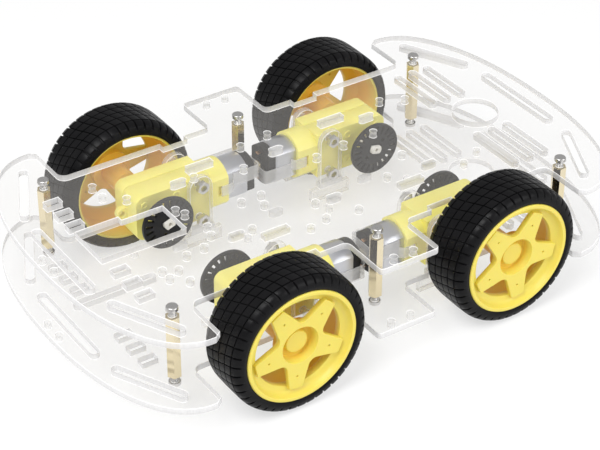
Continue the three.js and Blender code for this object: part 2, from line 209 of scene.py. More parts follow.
def yellow_material():
    """Lemon on the face, turning orange down in the barrel: painted shade and bounce light, standing in
    for light bouncing between the walls.
    """
    mat = new_material(
        "yellow_plastic",
        (0.765, 0.64, 0.108),
        0.38,
        Subsurface_Weight=0.2,
        Subsurface_Radius=(0.004, 0.002, 0.0004),
        Specular_IOR_Level=0.42,
    )
    tree = mat.node_tree
    coord = tree.nodes.new("ShaderNodeTexCoord")
    split = tree.nodes.new("ShaderNodeSeparateXYZ")
    tree.links.new(coord.outputs["Object"], split.inputs["Vector"])
    # Mask for the painted shade and bounce light: 0 deep in the barrel, 1 near the face and out at the
    # lip.
    depth = map_range(tree, split.outputs["Y"], STAR_TOP - 7 * MM, STAR_TOP - 1.5 * MM)
    across = tree.nodes.new("ShaderNodeCombineXYZ")
    tree.links.new(split.outputs["X"], across.inputs["X"])
    tree.links.new(split.outputs["Z"], across.inputs["Y"])
    radius = tree.nodes.new("ShaderNodeVectorMath")
    radius.operation = "LENGTH"
    tree.links.new(across.outputs["Vector"], radius.inputs[0])
    lip = map_range(tree, radius.outputs["Value"], 24.7 * MM, 25.3 * MM)
    clear_of_painted_shade = tree.nodes.new("ShaderNodeMath")
    clear_of_painted_shade.operation = "MAXIMUM"
    tree.links.new(depth, clear_of_painted_shade.inputs[0])
    tree.links.new(lip, clear_of_painted_shade.inputs[1])
    blend = tree.nodes.new("ShaderNodeMath")
    blend.operation = "MULTIPLY_ADD"
    blend.inputs[1].default_value = 0.12
    tree.links.new(noise(mat, 40, 3).outputs["Fac"], blend.inputs[0])
    tree.links.new(clear_of_painted_shade.outputs["Value"], blend.inputs[2])
    ramp = tree.nodes.new("ShaderNodeValToRGB")
    # Orange: painted shade and bounce light deep in the barrel; lemon: the plastic's own colour.
    ramp.color_ramp.elements[0].color = (0.88, 0.57, 0.07, 1)
    ramp.color_ramp.elements[0].position = 0.05
    ramp.color_ramp.elements[1].color = (0.765, 0.64, 0.108, 1)
    ramp.color_ramp.elements[1].position = 1.0
    tree.links.new(blend.outputs["Value"], ramp.inputs["Fac"])
    tree.links.new(ramp.outputs["Color"], tree.nodes["Principled BSDF"].inputs["Base Color"])
    vary_roughness(mat, noise(mat, 200, 4), 0.33, 0.45)
    bump(mat, noise(mat, 1500, 2), 0.06, 0.0001)
    return mat


def case_material():
    """The gearbox shells, a paler yellow than the wheels."""
    mat = new_material(
        "gearbox_plastic",
        (0.88, 0.81, 0.22),
        0.45,
        Subsurface_Weight=0.35,
        Subsurface_Radius=(0.005, 0.004, 0.001),
    )
    vary_colour(mat, noise(mat, 50, 3), (0.86, 0.79, 0.20), (0.90, 0.83, 0.25))
    bump(mat, noise(mat, 1300, 3), 0.12, 0.0001)
    return mat


def metal_material(name, colour, low, high, grain=(1, 1, 1), scale=150, strength=0.08):
    """Metal with a brushed or drawn grain."""
    mat = new_material(name, colour, (low + high) / 2, 1.0)
    tex = noise(mat, scale, 5, grain)
    vary_roughness(mat, tex, low, high)
    bump(mat, tex, strength, 0.0001)
    return mat


def moulded_material(name, colour, roughness, grain=1200, gloss=0.5):
    """Moulded plastic with a fine texture."""
    mat = new_material(name, colour, roughness, Specular_IOR_Level=gloss)
    lighter = tuple(min(1.0, c * 1.12 + 0.002) for c in colour)
    vary_colour(mat, noise(mat, 70, 4), colour, lighter)
    bump(mat, noise(mat, grain, 3), 0.12, 0.0001)
    return mat


ACRYLIC = acrylic_material()
CUT_EDGE = edge_material()
ARRIS = arris_material()
BORE = bore_material()
RUBBER = rubber_material()
YELLOW = yellow_material()
CASE = case_material()
BRASS = metal_material("brass", (0.78, 0.68, 0.46), 0.12, 0.20, (1, 1, 0.2), 500, 0.03)
NICKEL = metal_material("nickel", (0.62, 0.61, 0.60), 0.24, 0.38)
ZINC = metal_material("can_steel", (0.60, 0.61, 0.65), 0.30, 0.44, (0.08, 1, 1), 260)
COPPER = metal_material("copper_terminal", (0.80, 0.45, 0.24), 0.25, 0.4)
DISC_BLACK = moulded_material("disc_black", (0.008, 0.008, 0.009), 0.36, gloss=0.25)
CAP_BLACK = moulded_material("cap_black", (0.010, 0.010, 0.011), 0.5, gloss=0.25)
IVORY = moulded_material("shaft_ivory", (0.70, 0.68, 0.63), 0.45)
STRAP = new_material("strap_clear", (0.80, 0.80, 0.80), 0.12, IOR=1.45, Alpha=0.32)
vary_roughness(STRAP, noise(STRAP, 200, 3), 0.12, 0.26)


# ---- mesh helpers ----------------------------------------------------------
def shade(mesh, sharp=32, level=None):
    """Smooth faces and sharp creases. Faces square to the axis named level stay flat."""
    mesh.set_sharp_from_angle(angle=math.radians(sharp))
    axis = "XYZ".find(level) if level else -1
    smooth = [axis < 0 or abs(p.normal[axis]) < 0.9999 for p in mesh.polygons]
    mesh.polygons.foreach_set("use_smooth", smooth)
    return mesh


def finish_mesh(name, bm, sharp=32, level=None):
    """The bmesh as shaded mesh data."""
    bmesh.ops.remove_doubles(bm, verts=bm.verts, dist=1e-7)
    bmesh.ops.recalc_face_normals(bm, faces=bm.faces)
    mesh = bpy.data.meshes.new(name)
    bm.to_mesh(mesh)
    bm.free()
    return shade(mesh, sharp, level)


FLAT_SLOPE, WALL_SLOPE = 0.95, 0.2
CLEAR_SLOT, WALL_SLOT, CORNER_SLOT, BORE_SLOT = range(4)


def sheet_faces(mesh, level, bores=()):
    """Clear faces, grey cut walls and corner lines with a painted white highlight, by each face's slope
    to the sheet.

    bores: (x, y, radius) of the small holes, or None when every wall is a clearer one.
    """
    axis = "XYZ".find(level)
    for mat in (ACRYLIC, CUT_EDGE, ARRIS, BORE):
        mesh.materials.append(mat)
    for p in mesh.polygons:
        slope = abs(p.normal[axis])
        small = bores is None or any(
            math.hypot(p.center.x - x, p.center.y - y) < r + 0.2 * MM for x, y, r in bores
        )
        if slope > FLAT_SLOPE:
            p.material_index = CLEAR_SLOT
        elif slope < WALL_SLOPE:
            p.material_index = BORE_SLOT if small else WALL_SLOT
        else:
            p.material_index = CORNER_SLOT
    return mesh


def place(name, mesh, material, body, matrix=None, replaces=()):
    """A visible piece that rides on a body and stands in for the named CAD nodes."""
    obj = bpy.data.objects.new(name, mesh)
    bpy.context.scene.collection.objects.link(obj)
    if not mesh.materials:
        mesh.materials.append(material)
    obj.matrix_world = matrix or Matrix.Identity(4)
    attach(obj, body)
    if replaces:
        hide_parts(*replaces)
    return obj


def lathe_y(bm, profile, segs=96, closed=True):
    """Turn (radius, y) points about the Y axis. Closed profiles make a ring."""
    rings = []
    for r, y in profile:
        if r < 1e-9:
            rings.append([bm.verts.new((0, y, 0))] * segs)
            continue
        ring = []
        for i in range(segs):
            a = TAU * i / segs
            ring.append(bm.verts.new((r * math.cos(a), y, r * math.sin(a))))
        rings.append(ring)
    pairs = list(zip(rings, rings[1:]))
    if closed:
        pairs.append((rings[-1], rings[0]))
    for a, b in pairs:
        for i in range(segs):
            j = (i + 1) % segs
            corners = []
            for v in (a[i], a[j], b[j], b[i]):
                if v not in corners:
                    corners.append(v)
            if len(corners) > 2:
                bm.faces.new(corners)


def flat_solid(outer, holes, low, high, bevel=0.0, plane="XY"):
    """A bmesh: outlines (lists of 2-D points) filled and made thick.

    plane XY: thick along Z. plane XZ: points are (x, z), thick along Y.
    """
    curve = bpy.data.curves.new("outline", "CURVE")
    curve.dimensions = "2D"
    curve.fill_mode = "BOTH"
    curve.extrude = (high - low) / 2 - bevel
    curve.bevel_depth = bevel
    curve.bevel_resolution = 1
    curve.offset = -bevel
    for loop in [outer, *holes]:
        spline = curve.splines.new("POLY")
        spline.points.add(len(loop) - 1)
        for point, (u, v) in zip(spline.points, loop):
            point.co = (u, v, 0, 1)
        spline.use_cyclic_u = True
    holder = bpy.data.objects.new("outline", curve)
    bpy.context.scene.collection.objects.link(holder)
    bpy.context.view_layer.update()
    made = bpy.data.meshes.new_from_object(
        holder.evaluated_get(bpy.context.evaluated_depsgraph_get())
    )
    bpy.data.objects.remove(holder)
    bpy.data.curves.remove(curve)
    bm = bmesh.new()
    bm.from_mesh(made)
    bpy.data.meshes.remove(made)
    bmesh.ops.remove_doubles(bm, verts=bm.verts, dist=1e-6)
    mid = (low + high) / 2
    if plane == "XY":
        bmesh.ops.translate(bm, verts=bm.verts, vec=(0, 0, mid))
    else:
        turn = Matrix.Rotation(math.radians(90), 4, "X")
        bmesh.ops.transform(bm, matrix=turn, verts=bm.verts)
        bmesh.ops.translate(bm, verts=bm.verts, vec=(0, mid, 0))
    return bm


def arc(cx, cy, r, a0, a1, n):
    """n + 1 points from angle a0 to a1."""
    return [
        (cx + r * math.cos(a0 + (a1 - a0) * i / n), cy + r * math.sin(a0 + (a1 - a0) * i / n))
        for i in range(n + 1)
    ]


ROUND = 24


def circle(cx, cy, r, n=ROUND):
    """n points round a circle, the first not repeated."""
    return arc(cx, cy, r, 0, TAU * (n - 1) / n, n - 1)


def slot_loop(cx, cy, length, width, angle=0.0, n=8):
    """A slot with round ends, length over all."""
    half, r = length / 2 - width / 2, width / 2
    loop = arc(half, 0, r, -math.pi / 2, math.pi / 2, n)
    loop += arc(-half, 0, r, math.pi / 2, 3 * math.pi / 2, n)
    c, s = math.cos(angle), math.sin(angle)
    return [(cx + u * c - v * s, cy + u * s + v * c) for u, v in loop]


def rect_loop(x0, x1, y0, y1):
    """A rectangle, counter-clockwise."""
    return [(x0, y0), (x1, y0), (x1, y1), (x0, y1)]


def merge(target, other):
    """Add the other bmesh to the target, and free it."""
    mesh = bpy.data.meshes.new("part")
    other.to_mesh(mesh)
    other.free()
    target.from_mesh(mesh)
    bpy.data.meshes.remove(mesh)


def cut(mesh, cutter):
    """mesh minus cutter, both mesh data, as new mesh data."""
    a = bpy.data.objects.new("cut_a", mesh)
    b = bpy.data.objects.new("cut_b", cutter)
    for o in (a, b):
        bpy.context.scene.collection.objects.link(o)
    mod = a.modifiers.new("cut", "BOOLEAN")
    mod.operation = "DIFFERENCE"
    mod.solver = "EXACT"
    mod.object = b
    bpy.context.view_layer.update()
    out = bpy.data.meshes.new_from_object(
        a.evaluated_get(bpy.context.evaluated_depsgraph_get())
    )
    for o in (a, b):
        bpy.data.objects.remove(o)
    return shade(out, 32, "Y")


# ---- decks -----------------------------------------------------------------
TIP_X = PLATE_X - 35.7 * MM
BAR_X = TIP_X - 3.1 * MM
WELL_Y = PLATE_OUT[1].y + 0.15 * MM
NOTCH_Y = PLATE_OUT[0].y - 0.15 * MM
T_HALF = 5.9 * MM
TAB_X, TAB_Y = 15 * MM, TIP_Y - 0.7 * MM


def deck_outline():
    """One deck's outline: bowed bumpers, square wheel wells and side tabs."""
    power = 2 / 2.25
    quarter = []
    steps = 44
    for i in range(steps + 1):
        t = i / steps * math.pi / 2
        across = max(0.0, math.cos(t)) ** power
        quarter.append((TIP_X + (PLATE_X - TIP_X) * across, TIP_Y * math.sin(t) ** power))
    quarter.append((BAR_X, TIP_Y - 2.4 * MM))
    fillet = 4 * MM
    quarter += arc(BAR_X - fillet, WELL_Y + fillet, fillet, 0, -math.pi / 2, 8)
    notch = T_HALF + 0.35 * MM
    quarter += [
        (T_X + notch, WELL_Y),
        (T_X + notch, NOTCH_Y),
        (T_X - notch, NOTCH_Y),
        (T_X - notch, WELL_Y),
    ]
    r = 3 * MM
    quarter += arc(TAB_X + r, WELL_Y + r, r, 3 * math.pi / 2, math.pi, 6)
    r = 2 * MM
    quarter += arc(TAB_X - r, TAB_Y - r, r, 0, math.pi / 2, 6)
    loop = list(quarter)
    loop += [(-x, y) for x, y in reversed(quarter)]
    loop += [(-x, -y) for x, y in quarter[1:]]
    loop += [(x, -y) for x, y in reversed(quarter[1:])]
    return loop


M3 = 1.65 * MM


def common_holes():
    """Openings that both sheets have."""
    quarter_turn = math.pi / 2
    loops = []
    for sx in (-1, 1):
        loops.append(slot_loop(sx * 119.2 * MM, 0, 50 * MM, 4.4 * MM, quarter_turn))
        for sy in (-1, 1):
            lean = math.atan2(-sy * 34.3, sx * 16.9)
            loops.append(slot_loop(sx * 110.2 * MM, sy * 52.4 * MM, 36.5 * MM, 4 * MM, lean))
            loops.append(circle(sx * STAND_X, sy * STAND_Y, M3))
            x, y = sx * T_X, sy * 30.8 * MM
            loops.append(rect_loop(x - 6.3 * MM, x + 6.3 * MM, y - 1.65 * MM, y + 1.65 * MM))
            loops.append(slot_loop(sx * 50.1 * MM, sy * 23.8 * MM, 7.4 * MM, 3 * MM))
            loops.append(circle(sx * 5 * MM, sy * 73.6 * MM, M3))
    for sy in (-1, 1):
        loops.append(circle(0, sy * STAND_Y, M3))
        loops.append(slot_loop(0, sy * 22.8 * MM, 7 * MM, 3.4 * MM))
        for x in (82.9, 91.3, 99.7):
            loops.append(slot_loop(x * MM, sy * 30.3 * MM, 30.4 * MM, 3.7 * MM, quarter_turn))
        for y in (19.4, 29.3, 39.2):
            loops.append(rect_loop(-106.9 * MM, -99.5 * MM, (sy * y - 2.1) * MM, (sy * y + 2.1) * MM))
        loops.append(circle(-126 * MM, sy * 5 * MM, 1.5 * MM))
    loops.append(circle(94.8 * MM, 0, 10.6 * MM, 64))
    return loops


UPPER_HOLES = [
    (-62, 6), (-60, 1.5), (-35, -4), (-25, -4), (-28, -11), (-59, -18), (-57, -12),
    (-75, -25), (-66, -24), (-89, -29), (-89, -35), (-83, -32), (-83, -41), (-42, -23.5),
    (-11.5, -34), (-21, -36.5), (-9, -22), (29, -22), (45, -11), (74.5, -27),
    (63.5, -32), (4, -36), (12, 8), (28, 10), (45, 11), (-20, 18), (-42, 24),
    (63.5, 32), (74.5, 27), (-75, 25), (-83, 32), (-83, 41), (-11.5, 34), (4, 36),
]
LOWER_HALF = ((-22, 12), (22, 12), (66, 12), (63.5, 30), (-70, 30))
LOWER_HOLES = [(x, sy * y) for x, y in LOWER_HALF for sy in (-1, 1)]
WINDOW = [(-106, -9), (-65.5, -9), (-65.5, 10.9), (-85.5, 10.9), (-85.5, 13.9), (-106, 13.9)]


def loop_centre(loop):
    """(x, y, radius) of a round hole's outline."""
    x = sum(u for u, _ in loop) / len(loop)
    y = sum(v for _, v in loop) / len(loop)
    return x, y, math.hypot(loop[0][0] - x, loop[0][1] - y)


def build_decks():
    """Both sheets, with the openings they share and their own."""
    window = [(x * MM, y * MM) for x, y in WINDOW]
    upper = [window] + [circle(x * MM, y * MM, M3) for x, y in UPPER_HOLES]
    lower = [slot_loop(-91 * MM, 9.9 * MM, 40 * MM, 4 * MM)]
    lower += [circle(x * MM, y * MM, M3) for x, y in LOWER_HOLES]
    for name, box, extra in (("upper_deck", UPPER, upper), ("lower_deck", LOWER, lower)):
        bm = flat_solid(deck_outline(), common_holes() + extra, box[0].z, box[1].z, ARRIS_W)
        bores = [loop_centre(loop) for loop in common_holes() + extra if len(loop) == ROUND]
        sheet = sheet_faces(finish_mesh(name, bm, 32, "Z"), "Z", bores)
        place(f"{name}_sheet", sheet, ACRYLIC, "chassis", replaces=[name])


# ---- screws, standoffs, bolts ----------------------------------------------
def cross_cutter(head_r, top, depth):
    """A Phillips recess that narrows downward, as a cutter."""
    bm = bmesh.new()
    arm, half = head_r * 0.76, head_r * 0.23
    for turn in (0, math.pi / 2):
        c, s = math.cos(turn), math.sin(turn)
        rows = []
        for y, k in ((top + 0.6 * MM, 1.12), (top, 1.0), (top - depth, 0.5)):
            row = []
            for u, v in ((-arm * k, -half), (arm * k, -half), (arm * k, half), (-arm * k, half)):
                row.append(bm.verts.new((u * c - v * s, y, u * s + v * c)))
            rows.append(row)
        for a, b in zip(rows, rows[1:]):
            for i in range(4):
                bm.faces.new((a[i], a[(i + 1) % 4], b[(i + 1) % 4], b[i]))
        bm.faces.new(rows[0])
        bm.faces.new(rows[-1])
    return finish_mesh("cross", bm)


def pan_head_profile(head_r, head_h, base):
    """From the seat out and over the dome to the axis."""
    flank, crown = 0.66, 0.80
    pts = [(head_r, base), (head_r, base + head_h * flank)]
    for i in range(1, 7):
        a = i / 6 * math.pi / 2
        r = head_r * (crown + (1 - crown) * math.cos(a))
        pts.append((r, base + head_h * (flank + (1 - flank) * math.sin(a))))
    pts[-1] = (head_r * crown, base + head_h)
    return pts + [(0, base + head_h)]


def thread(y_from, y_to, outer=1.42 * MM, inner=1.22 * MM, pitch=0.5 * MM):
    """Ridge and root points along the shank."""
    turns = int(abs(y_to - y_from) / pitch)
    step = (y_to - y_from) / turns
    pts = []
    for i in range(turns):
        pts += [(inner, y_from + i * step), (outer, y_from + (i + 0.5) * step)]
    return pts + [(inner, y_to)]


def screw_mesh(length, head_r, head_h):
    """A pan-head screw along +Y, its head's seat at y = 0."""
    bm = bmesh.new()
    profile = [(0, -length), (0.9 * MM, -length)]
    profile += thread(-length + 0.4 * MM, -0.4 * MM)
    profile += [(1.4 * MM, 0)] + pan_head_profile(head_r, head_h, 0)
    lathe_y(bm, profile, 32, closed=False)
    return cut(finish_mesh("screw", bm), cross_cutter(head_r, head_h, 1.35 * MM))


def hex_points(across_flats, turn=0.0):
    """A hexagon by its width across flats."""
    r = across_flats / math.sqrt(3)
    return [(r * math.cos(TAU * i / 6 + turn), r * math.sin(TAU * i / 6 + turn)) for i in range(6)]


PILLAR_FLATS, PILLAR_BORE = 5.6 * MM, 1.6 * MM
PILLAR_HEAD_R, PAN_H = 2.6 * MM, 1.8 * MM


def build_posts():
    """Brass pillars with a screw at each end."""
    upright = Matrix.Rotation(math.radians(90), 4, "X")
    screw = screw_mesh(8 * MM, PILLAR_HEAD_R, PAN_H)
    height = POST[1].z - POST[0].z
    bore = [circle(0, 0, PILLAR_BORE)]
    bm = flat_solid(hex_points(PILLAR_FLATS), bore, 0, height, 0.25 * MM)
    post = finish_mesh("standoff", bm, 25, "Z")
    for i, (tag, (x, y)) in enumerate(POSTS.items()):
        turn = Matrix.Rotation(0.35 * i, 4, "Z")
        at = Matrix.Translation((x, y, POST[0].z))
        place(f"standoff_{tag}_hex", post, BRASS, "chassis", at, [f"standoff_{tag}"])
        top = Matrix.Translation((x, y, UPPER[1].z)) @ turn @ upright
        down = Matrix.Translation((x, y, LOWER[0].z)) @ turn @ upright.inverted()
        for name, matrix in ((f"screw_top_{tag}", top), (f"screw_low_{tag}", down)):
            place(f"{name}_head", screw, NICKEL, "chassis", matrix, [name])


# ---- motors ----------------------------------------------------------------
def motor_place(sx, sy):
    """Local motor frame (axle at the origin, +X to the car's end, +Y outward) to the car's."""
    flips = {
        (1, 1): Matrix.Identity(4),
        (-1, 1): Matrix.Rotation(math.pi, 4, "Y"),
        (1, -1): Matrix.Rotation(math.pi, 4, "X"),
        (-1, -1): Matrix.Rotation(math.pi, 4, "Z"),
    }
    return Matrix.Translation((sx * WHEEL_X, 0, AXLE_Z)) @ flips[(sx, sy)]


LUG_L = 5.0 * MM
BEARING_L = 1.5 * MM
GEAR_FRONT = GEAR[1].x - WHEEL_X - LUG_L
GEAR_BACK = WHEEL_X - GEAR[0].x
GEAR_HALF = (GEAR[1].z - GEAR[0].z) / 2
CAN_REAR = WHEEL_X - CAN[0].x - BEARING_L
CAN_R, CAN_FLAT = 10.0 * MM, 7.6 * MM
SHELL_BACK = 26.4 * MM
SHROUD_FLAT = 9.4 * MM
CAP_L = 4.6 * MM
WINDOW_HALF = 2.7 * MM
LIP = 0.3 * MM
MOTOR_HEAD_R = 2.8 * MM
HOLE_X = T_X - WHEEL_X


def case_outline(inset=0.0):
    """(x, z) side view of the gear case, round at the front."""
    h, r = GEAR_HALF - inset, 4 * MM
    front = GEAR_FRONT - inset
    loop = [(-SHELL_BACK + inset, -h)]
    loop += arc(front - r, -h + r, r, -math.pi / 2, 0, 8)
    loop += arc(front - r, h - r, r, 0, math.pi / 2, 8)
    return loop + [(-SHELL_BACK + inset, h)]


def raised_pads():
    """Rings that stand off the case sides: x, z, outer and inner radius, height."""
    yield 0, 0, 5.2 * MM, 3.2 * MM, 0.6 * MM
    for side in (-1, 1):
        yield -9.4 * MM, side * 6.4 * MM, 2.1 * MM, 1.1 * MM, 0.35 * MM
        yield 6.8 * MM, side * 6.8 * MM, 1.7 * MM, 0.8 * MM, 0.35 * MM


def shroud():
    """The round-topped sleeve round the motor's front, with a strap hook in each side."""
    bm = along_x(flatted(GEAR_HALF, SHROUD_FLAT), -GEAR_BACK, -SHELL_BACK + 0.4 * MM, 0.3 * MM)
    mesh = finish_mesh("shroud", bm)
    cutter = bmesh.new()
    low, high = -GEAR_BACK + 3.4 * MM, -GEAR_BACK + 5.6 * MM
    for side in (-1, 1):
        y = MOTOR_Y + side * SHROUD_FLAT
        window = rect_loop(low, high, -WINDOW_HALF, WINDOW_HALF)
        merge(cutter, flat_solid(window, [], y - 2 * MM, y + 2 * MM, 0, "XZ"))
    out = bmesh.new()
    out.from_mesh(cut(mesh, finish_mesh("windows", cutter)))
    return out


def case_mesh():
    """Two half shells on a thin core, the motor shroud, raised pads and the front lug."""
    y0, y1 = GEAR[0].y, GEAR[1].y
    seam = y0 + (y1 - y0) * 0.62
    holes = [circle(0, 0, 3.1 * MM, 32)] + [circle(HOLE_X, s * BOLT_DZ, 1.7 * MM, 20) for s in (-1, 1)]
    for low, high in ((y0, seam - 0.12 * MM), (seam + 0.12 * MM, y1)):
        half = flat_solid(case_outline(), holes, low, high, 0.3 * MM, "XZ")
        if low == y0:
            bm = half
        else:
            merge(bm, half)
    core = 1 * MM
    merge(bm, flat_solid(case_outline(0.35 * MM), holes, seam - core, seam + core, 0, "XZ"))
    merge(bm, shroud())
    lug = [(GEAR_FRONT - 1 * MM, -3 * MM)]
    lug += arc(GEAR_FRONT + 2 * MM, 0, 3 * MM, -math.pi / 2, math.pi / 2, 12)
    lug += [(GEAR_FRONT - 1 * MM, 3 * MM)]
    lug_hole = [circle(GEAR_FRONT + 2.4 * MM, 0, 1.5 * MM, 20)]
    merge(bm, flat_solid(lug, lug_hole, MOTOR_Y - 1.4 * MM, MOTOR_Y + 1.4 * MM, 0.2 * MM, "XZ"))
    root = 0.3 * MM
    for x, z, outer, inner, height in raised_pads():
        loops = circle(x, z, outer, 36), [circle(x, z, inner, 24)]
        merge(bm, flat_solid(*loops, y0 - height, y0 + root, 0.1 * MM, "XZ"))
        merge(bm, flat_solid(*loops, y1 - root, y1 + height, 0.1 * MM, "XZ"))
    return finish_mesh("gearbox_case", bm, 32, "Y")


def flatted(r, flat, n=18):
    """(y, z) outline of a round can with flats facing +Y and -Y."""
    a0 = math.acos(flat / r)
    loop = arc(0, 0, r, a0, math.pi - a0, n)
    return loop + arc(0, 0, r, math.pi + a0, TAU - a0, n)


def along_x(loop, x0, x1, bevel, holes=()):
    """A (y, z) outline made thick along X."""
    bm = flat_solid(loop, list(holes), x0, x1, bevel)
    turn = Matrix(((0, 0, 1, 0), (1, 0, 0, 0), (0, 1, 0, 0), (0, 0, 0, 1)))
    bmesh.ops.transform(bm, matrix=turn, verts=bm.verts)
    bmesh.ops.translate(bm, verts=bm.verts, vec=(0, MOTOR_Y, 0))
    return bm


def can_mesh():
    """The drawn steel shell, with the rolled lip at its rear."""
    lip = -CAN_REAR + CAP_L
    bm = along_x(flatted(CAN_R, CAN_FLAT), lip, -GEAR_BACK - 0.05 * MM, 0.35 * MM)
    rolled = flatted(CAN_R - LIP, CAN_FLAT - LIP)
    merge(bm, along_x(rolled, lip - 0.5 * MM, lip + 1 * MM, 0.2 * MM))
    return finish_mesh("can", bm, 32, "X")


def end_cap_mesh():
    """The black plastic end, with the raised ring that holds the rear bearing."""
    rear = -CAN_REAR
    inset = 0.45 * MM
    bm = along_x(flatted(CAN_R - inset, CAN_FLAT - inset), rear, rear + CAP_L, 0.5 * MM)
    merge(bm, along_x(circle(0, 0, 3.6 * MM, 32), rear - 1.0 * MM, rear + 0.3 * MM, 0.3 * MM))
    return finish_mesh("end_cap", bm, 32, "X")


def stub_mesh():
    """The brass bearing at the rear of the motor."""
    bm = along_x(circle(0, 0, 2.4 * MM, 32), -CAN_REAR - BEARING_L, -CAN_REAR + 0.2 * MM, 0.2 * MM)
    return finish_mesh("bearing", bm, 32, "X")


def terminals_mesh():
    """Two copper blades on the end cap."""
    bm = bmesh.new()
    for s in (-1, 1):
        z = s * 6.6 * MM
        blade = rect_loop(-0.9 * MM, 0.9 * MM, z - 0.25 * MM, z + 0.25 * MM)
        merge(bm, along_x(blade, -CAN_REAR - 1.6 * MM, -CAN_REAR + 0.4 * MM, 0.08 * MM))
    return finish_mesh("terminals", bm, 32, "X")


def strap_mesh():
    """The clear cup over the can's lower half and round its end, hooked on the case."""
    half_y, t = CAN_FLAT + 0.1 * MM, 0.6 * MM
    x_end, x_case = -CAN_REAR - BEARING_L - 0.2 * MM, -GEAR_BACK + 4.2 * MM
    side = GEAR[1].y - MOTOR_Y + 0.05 * MM
    hook = [(x_case, side), (-GEAR_BACK - 1.5 * MM, side), (-GEAR_BACK - 3 * MM, half_y)]
    wrap = [(-GEAR_BACK - 3 * MM, half_y)]
    wrap += arc(x_end + 1.5 * MM, half_y - 1.5 * MM, 1.5 * MM, math.pi / 2, math.pi, 6)
    wrap += [(x, -y) for x, y in reversed(wrap)]
    bm = flat_solid(ribbon(wrap, t), [], -6.3 * MM, 0.6 * MM, 0.1 * MM)
    merge(bm, flat_solid(ribbon(hook, t), [], -2.6 * MM, 2.6 * MM, 0.1 * MM))
    other = [(x, -y) for x, y in reversed(hook)]
    merge(bm, flat_solid(ribbon(other, t), [], -2.6 * MM, 2.6 * MM, 0.1 * MM))
    bmesh.ops.translate(bm, verts=bm.verts, vec=(0, MOTOR_Y, 0))
    return finish_mesh("strap", bm, 32, "Z")


def ribbon(path, t):
    """A band t thick outside an open path, as one closed outline."""
    outer = []
    for i, (x, y) in enumerate(path):
        a = Vector(path[max(0, i - 1)])
        b = Vector(path[min(len(path) - 1, i + 1)])
        d = (b - a).normalized()
        outer.append((x + d.y * t, y - d.x * t))
    return path + list(reversed(outer))


def mount_plate_mesh(box):
    """The T-shaped plate: round top, two bolt holes, wide foot under the deck."""
    x0, x1 = box[0].x - WHEEL_X, box[1].x - WHEEL_X
    mid = (x0 + x1) / 2
    z0, top = box[0].z - AXLE_Z, box[1].z - AXLE_Z
    shelf = LOWER[0].z - 0.1 * MM - AXLE_Z
    loop = [(x0, z0), (x1, z0), (x1, shelf), (mid + T_HALF, shelf)]
    loop += arc(mid, top - T_HALF, T_HALF, 0, math.pi, 24)
    loop += [(mid - T_HALF, shelf), (x0, shelf)]
    holes = [circle(mid, s * BOLT_DZ, 1.7 * MM, 20) for s in (-1, 1)]
    bm = flat_solid(loop, holes, box[0].y, box[1].y, ARRIS_W, "XZ")
    return sheet_faces(finish_mesh("mount_plate", bm, 32, "Y"), "Y", None)


def bolt_mesh():
    """Head on the outer plate, shank through, nut on the inner plate."""
    seat, nut_face, tail = PLATE_OUT[1].y, PLATE_IN[0].y, BOLT[0].y
    bm = bmesh.new()
    profile = [(0, tail), (0.95 * MM, tail)] + thread(tail + 0.3 * MM, seat - 0.4 * MM)
    profile += [(1.4 * MM, seat)] + pan_head_profile(MOTOR_HEAD_R, PAN_H, seat)
    lathe_y(bm, profile, 28, closed=False)
    mesh = cut(finish_mesh("bolt", bm), cross_cutter(MOTOR_HEAD_R, seat + PAN_H, 1.1 * MM))
    bm = bmesh.new()
    bm.from_mesh(mesh)
    thick, bore = 2.3 * MM, [circle(0, 0, 1.45 * MM)]
    hexagon = hex_points(5.45 * MM, 0.3)
    merge(bm, flat_solid(hexagon, bore, nut_face - thick, nut_face, 0.2 * MM, "XZ"))
    return finish_mesh("motor_bolt", bm, 32, "Y")


def shaft_mesh():
    """Double-ended output shaft with two flats and a screw hole in each end."""
    r, flat = 2.7 * MM, 1.85 * MM
    a0 = math.asin(flat / r)
    loop = arc(0, 0, r, -a0, a0, 8) + arc(0, 0, r, math.pi - a0, math.pi + a0, 8)
    hole = [circle(0, 0, 0.85 * MM, 16)]
    bm = flat_solid(loop, hole, SHAFT[0].y, SHAFT[1].y, 0.25 * MM, "XZ")
    inside = 0.5 * MM
    collar = circle(0, 0, r, 40)
    merge(bm, flat_solid(collar, [], GEAR[0].y + inside, GEAR[1].y - inside, 0.1 * MM, "XZ"))
    return finish_mesh("output_shaft", bm, 32, "Y")


DISC_SLOTS = 20


def disc_mesh():
    """Slotted encoder wheel with two small holes and a flatted bore."""
    holes = [rect_loop(-2.85 * MM, 2.85 * MM, -2.0 * MM, 2.0 * MM)]
    for i in range(DISC_SLOTS):
        a = TAU * (i + 0.5) / DISC_SLOTS
        c, s = math.cos(a), math.sin(a)
        corners = ((8.0, -0.45), (8.0, 0.45), (11.6, 0.65), (11.6, -0.65))
        holes.append([((u * c - v * s) * MM, (u * s + v * c) * MM) for u, v in corners])
    for a in (0.9, 0.9 + math.pi):
        holes.append(circle(5.6 * MM * math.cos(a), 5.6 * MM * math.sin(a), 0.8 * MM, 16))
    mesh = flat_solid(circle(0, 0, DISC_R, 96), holes, DISC[0].y, DISC[1].y, 0.1 * MM, "XZ")
    return finish_mesh("encoder_disc", mesh, 32, "Y")


# ---- wheels ----------------------------------------------------------------
DISH_R, CAP_R = 8.6 * MM, 5.2 * MM


